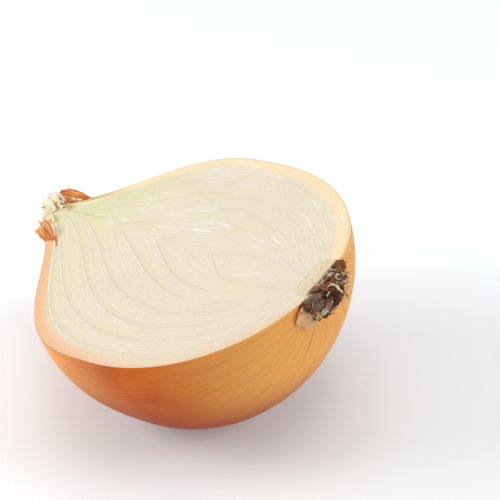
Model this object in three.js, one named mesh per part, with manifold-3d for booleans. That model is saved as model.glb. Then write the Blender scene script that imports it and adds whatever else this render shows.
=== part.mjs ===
// Half of a yellow onion, cut from root to neck and lying on its belly with the cut face up.
// Millimetres, +Z up. The origin is at the middle of the part's foot print, on the surface that it rests on.
//
// The bulb is drawn in its own frame first, and then leaned as it comes to rest:
//   +X runs along the bulb's polar axis to the root, -X to the neck,
//   +Z is the cut face's normal, with the cut at z = 0 and the half bulb below it,
//   -Y is the bulb's fuller side and +Y its flatter side.
import * as THREE from 'three';
import { mergeVertices } from 'three/addons/utils/BufferGeometryUtils.js';
import Module from 'manifold-3d';

const wasm = await Module();
wasm.setup();

// ---- Driving dimensions, in mm and degrees -------------------------------------------------

const LEAN_ROOT = 11.85;        // how far the root end is tipped up
const LEAN_SIDE = 9.7;          // how far the flatter side is tipped up
const DEPTH = 1.1;              // the belly is deeper than the mean of its two sides by this factor
const GAP = 0.35;               // room between two layers that touch
const SKIN = 0.75;              // thickness of the papery skin
const REST_SINK = 1.1;          // height that the small flat resting spot takes off the belly
const NECK_CUT = -50.5;         // where the fleshy layers end in the dried neck
const SKIN_CUT = -46;           // where the skin ends at the neck
const FAR_AWAY = 200;           // side of the blocks that trim the layers

// The outside of each layer, from the skin inwards. tip and base are its ends on the polar axis,
// neck is the radius that it keeps in the neck, and drift is how far its tip stands off the axis.
// Each side has its widest radius, the belly where it is that wide, how late (shoulder) and how
// far (taper) it narrows to the neck, and how quickly (round) it closes to the root.
function side(radius, belly, shoulder, taper, round) {
  return { radius, belly, shoulder, taper, round };
}

const BULB = {
  tip: -58, base: 40.2, neck: 4.4, drift: 3.4, squareness: 0,
  full: side(42.4, 1.2, 3.2, 3.45, 0.51), flat: side(37.7, 1.2, 3.0, 3.6, 0.45),
};
const RINGS = [
  {
    tip: -57, base: 38.6, neck: 2.3, drift: 3.5, squareness: 0.2,
    full: side(38.3, 2.5, 3.2, 3.3, 0.57), flat: side(32.8, 2.0, 3.0, 3.2, 0.6),
  },
  {
    tip: -56, base: 38.0, neck: 1.5, drift: 3.6, squareness: 0.4,
    full: side(33.0, 3.5, 2.8, 2.55, 0.63), flat: side(27.9, 2.5, 2.8, 2.6, 0.75),
  },
  {
    tip: -54, base: 37.4, neck: 0.9, drift: 3.8, squareness: 0.6,
    full: side(28.0, 4.5, 2.6, 3.3, 0.69), flat: side(23.2, 3.0, 2.6, 2.9, 0.85),
  },
  {
    tip: -47.2, base: 37.0, neck: 0, drift: 4.2, squareness: 0.8,
    full: side(21.9, 7.0, 2.6, 2.8, 0.74), flat: side(17.2, 3.0, 2.6, 2.5, 1.0),
  },
  {
    tip: -34.4, base: 36.6, neck: 0, drift: 4.2, squareness: 1,
    full: side(16.6, 11.5, 2.0, 2.0, 0.8), flat: side(11.7, 4.0, 2.4, 2.2, 1.05),
  },
  {
    tip: -15.5, base: 36.2, neck: 0, drift: 1.4, squareness: 1,
    full: side(11.9, 13.5, 2.6, 1.6, 0.8), flat: side(7.8, 7.0, 2.4, 1.6, 1.0),
  },
  {
    tip: 5.0, base: 35.5, neck: 0, drift: 0.8, squareness: 1,
    full: side(7.0, 18.5, 2.6, 1.2, 0.8), flat: side(3.4, 18.5, 2.6, 1.2, 0.8),
  },
];

// ---- Solids --------------------------------------------------------------------------------

// A closed solid for cutting and joining, from any closed geometry.
function solidOf(geometry) {
  const bare = geometry.clone();
  bare.deleteAttribute('normal');
  bare.deleteAttribute('uv');
  const merged = mergeVertices(bare, 1e-4);
  const index = merged.index.array;
  const corners = [];
  for (let i = 0; i < index.length; i += 3) {
    const [a, b, c] = index.slice(i, i + 3);
    if (a !== b && b !== c && c !== a) {
      corners.push(a, b, c);
    }
  }
  return new wasm.Manifold(new wasm.Mesh({
    numProp: 3,
    vertProperties: new Float32Array(merged.attributes.position.array),
    triVerts: new Uint32Array(corners),
  }));
}

function geometryOf(solid) {
  const mesh = solid.getMesh();
  const geometry = new THREE.BufferGeometry();
  geometry.setAttribute('position', new THREE.BufferAttribute(new Float32Array(mesh.vertProperties), 3));
  geometry.setIndex(new THREE.BufferAttribute(new Uint32Array(mesh.triVerts), 1));
  geometry.computeVertexNormals();
  return geometry;
}

// The same solid, grown outwards by a distance, for the room around a piece.
function grown(solid, distance) {
  const geometry = geometryOf(solid);
  const position = geometry.attributes.position;
  const normal = geometry.attributes.normal;
  for (let i = 0; i < position.count; i += 1) {
    position.setXYZ(
      i,
      position.getX(i) + distance * normal.getX(i),
      position.getY(i) + distance * normal.getY(i),
      position.getZ(i) + distance * normal.getZ(i),
    );
  }
  return solidOf(geometry);
}

function largestBody(solid) {
  const bodies = solid.decompose();
  return bodies.reduce((best, body) => (body.volume() > best.volume() ? body : best));
}

function block(x, y, z, size = FAR_AWAY) {
  return solidOf(new THREE.BoxGeometry(size, size, size).translate(x, y, z));
}

// Turns a lathe profile about the polar axis, then gives each point its place by a rule.
// It starts half a step round, so that the knife's cut passes between the lathe's lines.
function turned(profile, segments, place) {
  const geometry = new THREE.LatheGeometry(profile, segments, Math.PI / segments);
  const position = geometry.attributes.position;
  for (let i = 0; i < position.count; i += 1) {
    const along = position.getY(i);
    const radius = Math.hypot(position.getX(i), position.getZ(i));
    const angle = radius > 0 ? Math.atan2(position.getX(i), position.getZ(i)) : 0;
    const [x, y, z] = place(along, radius, angle);
    position.setXYZ(i, x, y, z);
  }
  return solidOf(geometry);
}

// ---- Layers of the bulb --------------------------------------------------------------------

// The radius of one side of a layer at a place along the axis: a pointed shoulder towards the
// neck and a round end towards the root.
function reachOf(layer, edge, along) {
  if (along < edge.belly) {
    const toNeck = (edge.belly - along) / (edge.belly - layer.tip);
    const share = Math.max(0, 1 - toNeck ** edge.shoulder) ** edge.taper;
    const neck = layer.neck * Math.min(1, 2 * toNeck);
    return (edge.radius - neck) * share + neck;
  }
  const toRoot = (along - edge.belly) / (layer.base - edge.belly);
  return edge.radius * Math.max(0, 1 - toRoot ** (2 - 0.4 * layer.squareness)) ** edge.round;
}

// Between its two sides a layer is as deep as their mean, and a little more.
function layerSolid(layer, segments, steps) {
  const profile = [];
  const belly = layer.full.belly;
  for (let i = 0; i <= steps; i += 1) {
    const reach = -Math.cos((Math.PI * i) / steps);
    const along = belly + reach * (reach > 0 ? layer.base - belly : belly - layer.tip);
    const closed = i === 0 || i === steps;
    profile.push(new THREE.Vector2(closed ? 0 : 1, along));
  }
  return turned(profile, segments, (along, radius, angle) => {
    const toFlat = (1 + Math.cos(angle)) / 2;
    const reach = THREE.MathUtils.lerp(
      reachOf(layer, layer.full, along),
      reachOf(layer, layer.flat, along),
      toFlat,
    );
    const r = radius * reach * (1 + (DEPTH - 1) * Math.sin(angle) ** 2);
    const toNeck = Math.max(0, (belly - along) / (belly - layer.tip));
    return [along, r * Math.cos(angle) + layer.drift * toNeck ** 2, r * Math.sin(angle)];
  });
}

function shrunk(layer, by) {
  return {
    ...layer,
    base: layer.base - by,
    neck: layer.neck - by,
    full: { ...layer.full, radius: layer.full.radius - by },
    flat: { ...layer.flat, radius: layer.flat.radius - by },
  };
}

// ---- Trimming: the knife's cut, the floor and the neck --------------------------------------

const up = new THREE.Vector3(
  Math.sin(THREE.MathUtils.degToRad(LEAN_ROOT)),
  Math.sin(THREE.MathUtils.degToRad(LEAN_SIDE)) * Math.cos(THREE.MathUtils.degToRad(LEAN_ROOT)),
  Math.cos(THREE.MathUtils.degToRad(LEAN_SIDE)) * Math.cos(THREE.MathUtils.degToRad(LEAN_ROOT)),
);

function lowest(solid) {
  const points = solid.getMesh().vertProperties;
  let low = Infinity;
  for (let i = 0; i < points.length; i += 3) {
    low = Math.min(low, points[i] * up.x + points[i + 1] * up.y + points[i + 2] * up.z);
  }
  return low;
}

// A block whose top lies level with the surface that the half onion rests on, at a height.
function floorBlock(height) {
  const geometry = new THREE.BoxGeometry(FAR_AWAY, FAR_AWAY, FAR_AWAY).translate(0, 0, -FAR_AWAY / 2);
  geometry.applyQuaternion(new THREE.Quaternion().setFromUnitVectors(new THREE.Vector3(0, 0, 1), up));
  geometry.translate(up.x * height, up.y * height, up.z * height);
  return solidOf(geometry);
}

const aboveCut = block(0, 0, FAR_AWAY / 2);
const beyondNeck = block(NECK_CUT - FAR_AWAY / 2, 0, 0);
const beyondSkin = block(SKIN_CUT - FAR_AWAY / 2, 0, 0);

const bulb = layerSolid(BULB, 36, 20);
const floorHeight = lowest(bulb) + REST_SINK;
const flesh = layerSolid(shrunk(BULB, SKIN + GAP), 36, 20);
const rings = RINGS.map((layer, i) => (i < 3 ? layerSolid(layer, 28, 16) : layerSolid(layer, 20, 12)));

// ---- Root end -------------------------------------------------------------------------------

// The basal plate, a short squat stem that every layer grows from.
const PLATE = { radius: 7.2, top: 31.6, foot: 38.8, aside: 1.4 };
function plateSolid() {
  const profile = [new THREE.Vector2(0, PLATE.top)];
  for (let i = 1; i <= 6; i += 1) {
    const turn = (Math.PI / 2) * (i / 6);
    profile.push(new THREE.Vector2(
      PLATE.radius * Math.sin(turn),
      PLATE.top + (PLATE.foot - PLATE.top) * 0.8 * (1 - Math.cos(turn)),
    ));
  }
  profile.push(new THREE.Vector2(PLATE.radius * 0.92, PLATE.foot));
  profile.push(new THREE.Vector2(0, PLATE.foot));
  return turned(profile, 20, (along, radius, angle) => [
    along,
    radius * Math.cos(angle) + PLATE.aside,
    radius * Math.sin(angle),
  ]);
}

// The corky crust of dead roots under the plate: a lumpy disc.
const CRUST = { radius: 10, foot: 39.2, rim: 38.2, height: 4.6, aside: 0.3 };
function crustSolid() {
  const profile = [
    new THREE.Vector2(0, CRUST.foot),
    new THREE.Vector2(CRUST.radius * 0.7, CRUST.foot),
    new THREE.Vector2(CRUST.radius * 0.97, CRUST.rim),
    new THREE.Vector2(CRUST.radius, CRUST.rim + 1.6),
  ];
  for (let i = 1; i <= 4; i += 1) {
    const turn = (Math.PI / 2) * (i / 4);
    profile.push(new THREE.Vector2(
      i === 4 ? 0 : CRUST.radius * 0.96 * Math.cos(turn),
      CRUST.rim + 1.6 + (CRUST.height - 0.6) * Math.sin(turn),
    ));
  }
  return turned(profile, 22, (along, radius, angle) => {
    const outer = along > CRUST.rim + 1 ? 1 : 0;
    const lump = outer * (0.5 * Math.sin(3 * angle + 0.6) + 0.35 * Math.sin(7 * angle + radius));
    const edge = 1 + 0.05 * Math.sin(5 * angle + 1) * outer;
    return [
      along + lump * (radius / CRUST.radius),
      edge * radius * Math.cos(angle) + CRUST.aside,
      edge * radius * Math.sin(angle),
    ];
  });
}

const plate = plateSolid();
const crust = crustSolid();
const plateRoom = grown(plate, GAP);
const crustRoom = grown(crust, GAP);

// A dried rootlet: a thin tube along a curve from the crust outwards.
// from is its place on the crust (across, down), towards is where its end lies, and
// sag is how far its middle bows away from the straight line.
const ROOTLET_RADIUS = 0.6;
const ROOTLETS = [
  { from: [5.4, -1.6], towards: [45.4, 8.2, -0.9], sag: 1.0 },
  { from: [2.4, -2.8], towards: [47.0, 3.6, -2.6], sag: -1.0 },
  { from: [-1.8, -2.0], towards: [46.8, -4.4, -1.2], sag: 1.4 },
  { from: [-3.4, -5.0], towards: [45.6, -6.4, -7.0], sag: -0.9 },
  { from: [2.0, -6.4], towards: [46.0, 4.2, -8.6], sag: 1.0 },
  { from: [-6.0, -2.6], towards: [43.8, -10.2, -4.0], sag: 0.8 },
  { from: [-1.6, -7.4], towards: [43.8, -3.8, -11.4], sag: -0.9 },
  { from: [6.2, -4.4], towards: [44.6, 9.6, -6.2], sag: 0.8 },
];

function rootletSolid({ from, towards, sag }) {
  const start = new THREE.Vector3(CRUST.foot + 2, from[0], from[1]);
  const end = new THREE.Vector3(...towards);
  const middle = start.clone().lerp(end, 0.5).add(new THREE.Vector3(0.8, sag, -0.6 * sag));
  const section = new THREE.Shape();
  section.absarc(0, 0, ROOTLET_RADIUS, 0, 2 * Math.PI);
  return solidOf(new THREE.ExtrudeGeometry(section, {
    steps: 8,
    curveSegments: 3,
    bevelEnabled: false,
    extrudePath: new THREE.CatmullRomCurve3([start, middle, end]),
  }));
}

// A torn flake of skin that hangs on to the crust's rim and stands a little off the bulb.
const FLAKE = { at: -2.44, inner: 8.8, length: 4.6, spread: 0.85, thickness: 0.6, clear: 0.8, lift: 0.6 };
function flakeSolid() {
  const geometry = new THREE.BoxGeometry(FLAKE.thickness, 1, 1, 1, 5, 5);
  const position = geometry.attributes.position;
  const bulbRadius = (BULB.full.radius + BULB.flat.radius) / 2;
  for (let i = 0; i < position.count; i += 1) {
    const out = position.getY(i) + 0.5;
    const r = FLAKE.inner + FLAKE.length * out;
    const angle = FLAKE.at + FLAKE.spread * position.getZ(i) * (1 - 0.45 * out);
    const rest = BULB.full.belly + (BULB.base - BULB.full.belly) * Math.sqrt(1 - (r / bulbRadius) ** 2);
    const x = rest + FLAKE.clear + FLAKE.lift * out ** 2 + position.getX(i);
    position.setXYZ(i, x, r * Math.cos(angle), r * Math.sin(angle));
  }
  return solidOf(geometry);
}

// ---- Neck -----------------------------------------------------------------------------------

// The stub of dried leaf sheaths past the end of the fleshy layers.
const STUB = { from: -50.9, to: -57.6, radius: 4.8, aside: 3.2 };
function stubSolid() {
  const span = STUB.from - STUB.to;
  const profile = [
    new THREE.Vector2(0, STUB.to),
    new THREE.Vector2(STUB.radius * 0.35, STUB.to + span * 0.04),
    new THREE.Vector2(STUB.radius * 0.72, STUB.to + span * 0.3),
    new THREE.Vector2(STUB.radius * 0.9, STUB.to + span * 0.7),
    new THREE.Vector2(STUB.radius, STUB.from),
    new THREE.Vector2(0, STUB.from),
  ];
  return turned(profile, 18, (along, radius, angle) => {
    const pleat = 1 + 0.08 * Math.sin(6 * angle);
    const back = (STUB.from - along) / span;
    return [
      along,
      pleat * radius * Math.cos(angle) + STUB.aside + 1.6 * back,
      0.8 * pleat * radius * Math.sin(angle),
    ];
  });
}

// A dry lamella: a thin strip that follows a curve along the neck and stands on its edge,
// leaning outwards towards its top and narrowing towards its far end.
function lamellaSolid(points, height, thickness, flare) {
  const curve = new THREE.CatmullRomCurve3(points.map((point) => new THREE.Vector3(...point)));
  const geometry = new THREE.BoxGeometry(1, thickness, 1, 10, 1, 3);
  const position = geometry.attributes.position;
  for (let i = 0; i < position.count; i += 1) {
    const along = position.getX(i) + 0.5;
    const up = position.getZ(i);
    const tangent = curve.getTangent(along).setZ(0).normalize();
    const out = position.getY(i) + flare * along * (up + 0.5) ** 2;
    const place = curve.getPoint(along);
    const tall = height * (1 - 0.35 * along) * up;
    position.setXYZ(i, place.x - tangent.y * out, place.y + tangent.x * out, place.z + tall);
  }
  return solidOf(geometry);
}

const LAMELLA = 0.7;            // thickness of the dry lamellae
const FLAP_HEIGHT = 3.4;
const FLAP_PATH = [[-43, 12.2, -2.0], [-46, 10.2, -1.4], [-49.5, 9.2, -0.9], [-53.2, 9.0, -0.5]];
const CURLS = [
  {
    height: 3.4,
    path: [[-40.6, -12.6, -2.4], [-43, -10.8, -1.4], [-45.4, -9.0, -0.3], [-47.4, -7.6, 0.8]],
  },
  {
    height: 2.8,
    path: [[-45.4, -7.6, -2.2], [-47, -6.2, -1.4], [-48.6, -5.0, -0.5], [-50, -4.2, 0.5]],
  },
];

// ---- Assembly -------------------------------------------------------------------------------

const half = new THREE.Group();
const pieces = [];

function finish(name, solid, color, roughness) {
  const piece = largestBody(solid);
  const material = new THREE.MeshStandardMaterial({ color, roughness, metalness: 0, flatShading: true });
  const mesh = new THREE.Mesh(geometryOf(piece), material);
  mesh.name = name;
  half.add(mesh);
  pieces.push(piece);
  return piece;
}

const skinFloor = floorBlock(floorHeight);
const fleshFloor = floorBlock(floorHeight + SKIN);
const scaleFloor = floorBlock(floorHeight + SKIN + GAP);

const fleshRoom = grown(flesh, GAP).subtract(fleshFloor);
const outerSkin = bulb
  .subtract(skinFloor)
  .subtract(fleshRoom)
  .subtract(aboveCut)
  .subtract(beyondSkin)
  .subtract(plateRoom)
  .subtract(crustRoom);
finish('outer_skin', outerSkin, 0xe08a45, 0.45);

const layers = [flesh.subtract(scaleFloor), ...rings];
for (let i = 0; i < layers.length - 1; i += 1) {
  const scale = layers[i]
    .subtract(grown(layers[i + 1], GAP))
    .subtract(aboveCut)
    .subtract(beyondNeck)
    .subtract(plateRoom)
    .subtract(crustRoom);
  finish(`scale_${i + 1}`, scale, 0xede6d6, 0.4);
}
const bud = layers[layers.length - 1].subtract(aboveCut).subtract(plateRoom);
finish('inner_bud', bud, 0xefe9c8, 0.4);

finish('basal_plate', plate.subtract(aboveCut).subtract(crustRoom), 0xd9c890, 0.7);
finish('root_crust', crust.subtract(aboveCut), 0x5a3422, 0.95);
ROOTLETS.forEach((rootlet, i) => {
  finish(`rootlet_${i + 1}`, rootletSolid(rootlet).subtract(crustRoom), 0xc8b48c, 0.8);
});

finish('neck_stub', stubSolid().subtract(aboveCut), 0xf0dfb4, 0.8);
const skinRoom = grown(outerSkin, GAP);
const neckRoom = grown(stubSolid(), GAP).add(grown(flesh, GAP));
const flap = lamellaSolid(FLAP_PATH, FLAP_HEIGHT, LAMELLA, -1);
finish('neck_flap', flap.subtract(skinRoom).subtract(neckRoom), 0xb8621f, 0.7);
CURLS.forEach(({ path, height }, i) => {
  const curl = lamellaSolid(path, height, LAMELLA, 1);
  finish(`neck_curl_${i + 1}`, curl.subtract(skinRoom).subtract(neckRoom), 0xe08a3c, 0.7);
});
finish('root_flake', flakeSolid().subtract(crustRoom).subtract(skinRoom), 0xd8a070, 0.7);

// Lean the half bulb, and stand it with the middle of its box over the origin.
half.rotation.set(
  THREE.MathUtils.degToRad(LEAN_SIDE),
  -THREE.MathUtils.degToRad(LEAN_ROOT),
  0,
  'YXZ',
);
const onion = new THREE.Group();
onion.add(half);
onion.updateMatrixWorld(true);
const box = new THREE.Box3().setFromObject(onion, true);
const middle = box.getCenter(new THREE.Vector3());
half.position.set(-middle.x, -middle.y, -box.min.z);

export default onion;
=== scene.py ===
import math

import bmesh
import bpy
import numpy as np
from mathutils import Matrix, Vector, noise


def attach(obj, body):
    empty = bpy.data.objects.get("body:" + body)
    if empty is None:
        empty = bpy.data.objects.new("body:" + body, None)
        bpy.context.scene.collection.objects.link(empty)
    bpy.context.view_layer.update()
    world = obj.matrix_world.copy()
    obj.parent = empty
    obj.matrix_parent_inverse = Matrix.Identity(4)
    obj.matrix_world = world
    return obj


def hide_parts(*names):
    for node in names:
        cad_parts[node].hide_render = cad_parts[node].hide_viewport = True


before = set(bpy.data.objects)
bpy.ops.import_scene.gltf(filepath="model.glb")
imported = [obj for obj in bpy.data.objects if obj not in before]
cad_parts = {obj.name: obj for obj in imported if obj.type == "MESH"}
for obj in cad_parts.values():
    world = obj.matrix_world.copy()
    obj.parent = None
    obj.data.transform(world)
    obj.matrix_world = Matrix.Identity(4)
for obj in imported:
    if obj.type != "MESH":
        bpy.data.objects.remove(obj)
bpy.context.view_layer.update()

# ---- Papery skin ----------------------------------------------------------------------------
# The outermost leaf of the bulb, dried to a thin golden-brown paper that clings to the first
# fleshy scale. It is torn round the neck, and stands a little off the flesh under its cut edge.

DEPTH = 1.1                     # the belly is deeper than the mean of its two sides
SKIN_WALL = 0.3                 # mm, drawn thicker than real paper so that its edge shows
SKIN_TORN = -45.6               # where the skin ends at the neck
TEAR = 1.6                      # mm that its torn end wanders
SKIN_FOOT = 39.3                # where it runs in under the root crust
BULGE = 1.0                     # mm that the bulb swells out by its cut edge, towards the neck
BULGE_AT = -21                  # where it swells most
PALE_RIM = 0.035                # radians, how wide the pale rim along the far cut edge is

# The half bulb lies on its belly, with its root end and its flatter side tipped up. Everything is
# shaped in the bulb's own frame, in mm: +X to the root, +Y to the flatter side and +Z out of the
# cut. The CAD solids say where that frame's origin lies.
LEAN_ROOT = math.radians(11.85)
LEAN_SIDE = math.radians(9.7)
PLATE_FOOT = 38.8               # how far the basal plate reaches along the polar axis
PLATE_ASIDE = 1.4               # how far its middle stands off that axis
SAME_POINT = 4e-6               # m, points closer than this are one

lean = np.array(Matrix.Rotation(-LEAN_ROOT, 3, "Y") @ Matrix.Rotation(LEAN_SIDE, 3, "X"))


def node_points(node):
    """The vertices of a solid of the frame, in mm, turned into the bulb's frame."""
    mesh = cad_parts[node].data
    points = np.empty(len(mesh.vertices) * 3)
    mesh.vertices.foreach_get("co", points)
    return points.reshape(-1, 3) * 1000 @ lean


plate_points = node_points("basal_plate")
origin = lean @ np.array([
    plate_points[:, 0].max() - PLATE_FOOT,
    (plate_points[:, 1].max() + plate_points[:, 1].min()) / 2 - PLATE_ASIDE,
    node_points("outer_skin")[:, 2].max(),
])
upright = lean[2]               # straight up, in the bulb's frame


def rested(points, floor, softness=0.35):
    """Points pressed up to a floor, with a soft edge, as the belly is where the half lies."""
    height = points @ upright + origin[2] - floor
    pressed = (height + np.sqrt(height ** 2 + softness ** 2)) / 2
    return points + (pressed - height)[..., None] * upright


def in_scene(name, data):
    """A new object, put in the scene."""
    thing = bpy.data.objects.new(name, data)
    bpy.context.scene.collection.objects.link(thing)
    return thing


def body_from(name, patches, marks, crease=40):
    """One closed mesh from grids of points. Each patch is a grid and a dict of values at its
    points, which the material reads; marks gives each value's default."""
    points, faces, values = [], [], {mark: [] for mark in marks}
    first = 0
    for grid, known in patches:
        rows, columns = grid.shape[:2]
        index = first + np.arange(rows * columns).reshape(rows, columns)
        quads = [index[:-1, :-1], index[1:, :-1], index[1:, 1:], index[:-1, 1:]]
        faces.extend(np.stack(quads, -1).reshape(-1, 4).tolist())
        points.append(grid.reshape(-1, 3))
        for mark, default in marks.items():
            value = np.broadcast_to(np.asarray(known.get(mark, default), float), (rows, columns))
            values[mark].append(value.ravel())
        first += rows * columns
    placed = (np.concatenate(points) @ lean.T + origin) / 1000
    mesh = bpy.data.meshes.new(name)
    mesh.from_pydata(placed.tolist(), [], faces)
    for mark, parts in values.items():
        attribute = mesh.attributes.new(mark, "FLOAT", "POINT")
        attribute.data.foreach_set("value", np.concatenate(parts).astype(np.float32))
    work = bmesh.new()
    work.from_mesh(mesh)
    bmesh.ops.remove_doubles(work, verts=work.verts, dist=SAME_POINT)
    bmesh.ops.dissolve_degenerate(work, edges=work.edges, dist=1e-7)
    bmesh.ops.recalc_face_normals(work, faces=work.faces)
    work.to_mesh(mesh)
    work.free()
    mesh.shade_smooth()
    mesh.set_sharp_from_angle(angle=math.radians(crease))
    return in_scene(name, mesh)


def side(radius, belly, shoulder, taper, close):
    """One side of a layer: how wide it is, where it is widest, and how its two ends close."""
    return {"radius": radius, "belly": belly, "shoulder": shoulder, "taper": taper, "round": close}


def layer_of(tip, base, neck, drift, squareness, full, flat):
    """A layer of the bulb, from its tip to its base. drift moves its neck aside."""
    return {"tip": tip, "base": base, "neck": neck, "drift": drift,
            "squareness": squareness, "full": full, "flat": flat}


BULB = layer_of(-58, 40.2, 4.4, 3.4, 0, side(42.4, 1.2, 3.2, 3.45, 0.51), side(37.7, 1.2, 3, 3.6, 0.45))


def shrunk(layer, by):
    """The same layer, drawn in by so many mm."""
    sides = {name: {**layer[name], "radius": layer[name]["radius"] - by} for name in ("full", "flat")}
    return {**layer, "base": layer["base"] - by, "neck": layer["neck"] - by, **sides}


def reach_of(layer, edge, along):
    """The radius of one side of a layer: a pointed shoulder to the neck, a round end to the root."""
    to_neck = np.clip((edge["belly"] - along) / (edge["belly"] - layer["tip"]), 0, 1)
    share = (1 - to_neck ** edge["shoulder"]) ** edge["taper"]
    neck = layer["neck"] * np.minimum(1, 2 * to_neck)
    to_root = np.clip((along - edge["belly"]) / (layer["base"] - edge["belly"]), 0, 1)
    closing = (1 - to_root ** (2 - 0.4 * layer["squareness"])) ** edge["round"]
    return np.where(along < edge["belly"], (edge["radius"] - neck) * share + neck, edge["radius"] * closing)


def grid_of(x, y, z):
    """A grid of points from their coordinates."""
    return np.stack(np.broadcast_arrays(x, y, z), -1)


def place_on(layer, along, turn, share=1.0, swell=0.0):
    """Points on a layer. turn runs from pi on the fuller side, round the belly, to two pi."""
    to_flat = (1 + np.cos(turn)) / 2
    reach = reach_of(layer, layer["full"], along) * (1 - to_flat)
    reach = reach + reach_of(layer, layer["flat"], along) * to_flat
    radius = share * (reach * (1 + (DEPTH - 1) * np.sin(turn) ** 2) + swell)
    to_neck = np.clip((layer["full"]["belly"] - along) / (layer["full"]["belly"] - layer["tip"]), 0, 1)
    across = radius * np.cos(turn) + layer["drift"] * to_neck ** 2
    return grid_of(along, across, radius * np.sin(turn))


def stations(layer, start, end, rows):
    """Places along the axis, closest together where a layer turns in to its ends."""
    belly = layer["full"]["belly"]

    def dial(along):
        along = np.atleast_1d(np.asarray(along, float))
        span = np.where(along < belly, belly - layer["tip"], layer["base"] - belly)
        return np.arccos(-np.clip((along - belly) / span, -1, 1))

    step = np.linspace(0, 1, rows)[:, None]
    reach = -np.cos(dial(start) * (1 - step) + dial(end) * step)
    return belly + reach * np.where(reach > 0, layer["base"] - belly, belly - layer["tip"])


def linear(code):
    """The linear colour of an sRGB hex code."""
    parts = [int(code[i:i + 2], 16) / 255 for i in (1, 3, 5)]
    return [p / 12.92 if p <= 0.04045 else ((p + 0.055) / 1.055) ** 2.4 for p in parts] + [1]


def add(tree, kind, inputs=(), **settings):
    """Adds a node with its settings. An input is a value, or a socket or node to link. A node
    gives the first of its outputs that is in use."""
    node = tree.nodes.new(kind)
    for name, value in settings.items():
        setattr(node, name, value)
    for key, value in dict(inputs).items():
        if isinstance(value, bpy.types.Node):
            value = next(output for output in value.outputs if output.enabled)
        if isinstance(value, bpy.types.NodeSocket):
            tree.links.new(value, node.inputs[key])
        else:
            node.inputs[key].default_value = value
    return node


def new_material(name, *marks):
    """An empty material, its node tree, and the values at the mesh's points that it reads."""
    material = bpy.data.materials.new(name)
    material.use_nodes = True
    tree = material.node_tree
    tree.nodes.clear()
    return material, tree, *[add(tree, "ShaderNodeAttribute", attribute_name=mark).outputs["Fac"]
                             for mark in marks]


turns = np.linspace(math.pi, 2 * math.pi, 121)
torn = np.array([noise.noise(Vector((9 * t, 0.3, 0))) + 0.5 * noise.noise(Vector((31 * t, 2.7, 0)))
                 for t in turns])
skin_along = stations(BULB, SKIN_TORN + TEAR * torn, SKIN_FOOT, 150)


def swelling(along, turn):
    """How far the bulb swells out near its cut edge, on the neck's side of its belly, in mm."""
    off_edge = math.pi / 2 - np.abs(turn - 1.5 * math.pi)
    return BULGE * np.exp(-(off_edge / 0.6) ** 2) * np.exp(-((along - BULGE_AT) / 13) ** 2)


swell = swelling(skin_along, turns)
outside = rested(place_on(BULB, skin_along, turns, swell=swell), 0)
inside = rested(place_on(shrunk(BULB, SKIN_WALL), skin_along, turns, swell=swell), SKIN_WALL)
at_far_edge = np.exp(-((2 * math.pi - turns) / PALE_RIM) ** 2) * np.ones_like(skin_along)
place = {"turn": np.broadcast_to(turns, skin_along.shape), "run": skin_along, "pale": at_far_edge}


def edges_of(outer, inner, known):
    """The four thin strips that close the wall between an outer and an inner grid."""
    picks = [(slice(0, 1), slice(None)), (slice(-1, None), slice(None)),
             (slice(None), slice(0, 1)), (slice(None), slice(-1, None))]
    strips = []
    for number, pick in enumerate(picks):
        axis = 0 if number < 2 else 1
        values = {mark: np.concatenate([value[pick], value[pick]], axis) for mark, value in known.items()}
        strips.append((np.concatenate([outer[pick], inner[pick]], axis), values))
    return strips


skin = body_from(
    "skin", [(outside, place), (inside, place), *edges_of(outside, inside, place)],
    {"turn": 0, "run": 0, "pale": 0},
)

# Dried onion skin: thin dead leaf, satin, with fine fibres and darker veins from root to neck.
# Its colour also holds painted light: painted shade that darkens it towards the floor, and a
# painted highlight along the fuller side's cut edge, towards the neck.
skin_paper, tree, turn, run, pale = new_material("Dried onion skin", "turn", "run", "pale")
where = add(tree, "ShaderNodeTexCoord").outputs["Object"]
height = add(tree, "ShaderNodeSeparateXYZ", {0: where}).outputs["Z"]
across = add(tree, "ShaderNodeMath", {0: turn, 1: 40.0}, operation="MULTIPLY")
grain = add(tree, "ShaderNodeCombineXYZ", {"X": across, "Y": run})
patches = add(tree, "ShaderNodeTexNoise", {"Vector": where, "Scale": 42.0, "Detail": 3.0})
fibres, vein_field = [
    add(tree, "ShaderNodeTexNoise", {"Scale": 1.0, "Detail": detail, "Vector": add(
        tree, "ShaderNodeVectorMath", {0: grain, 1: stretch}, operation="MULTIPLY")})
    for stretch, detail in (((2.4, 0.06, 1), 4.0), ((0.36, 0.011, 1), 1.5))]
vein_off = add(tree, "ShaderNodeMath", {0: vein_field, 1: 0.5}, operation="SUBTRACT")
vein_off = add(tree, "ShaderNodeMath", {0: vein_off}, operation="ABSOLUTE")
# Each share grows between two places: what it follows, from, to, and its values there.
veins, patchy, rooty, painted_light_edge, low = [
    add(tree, "ShaderNodeMapRange", dict(enumerate(span)), interpolation_type="SMOOTHSTEP")
    for span in ((vein_off, 0.001, 0.011, 1.0, 0.0), (patches, 0.35, 0.68), (run, 12.0, 38.0),
                 (turn, math.pi + 1.15, math.pi + 0.2), (height, 0.032, 0.004, 0.0, 0.9))]
streak, glow, to_neck, vein_weight, gloss = [
    add(tree, "ShaderNodeMapRange", dict(enumerate(span)))
    for span in ((fibres, 0.45, 0.75, 0.0, 0.3), (fibres, 0.45, 0.25, 0.0, 0.25), (run, 8.0, -22.0),
                 (rooty, 0.0, 1.0, 0.3, 0.75), (fibres, 0.0, 1.0, 0.38, 0.55))]
# Painted light: the skin is made lighter along the fuller side's cut edge, towards the neck.
painted_light = add(tree, "ShaderNodeMath", {0: painted_light_edge, 1: to_neck}, operation="MULTIPLY")
veined = add(tree, "ShaderNodeMath", {0: veins, 1: vein_weight}, operation="MULTIPLY")
tone = linear("#DA6A12")
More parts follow.
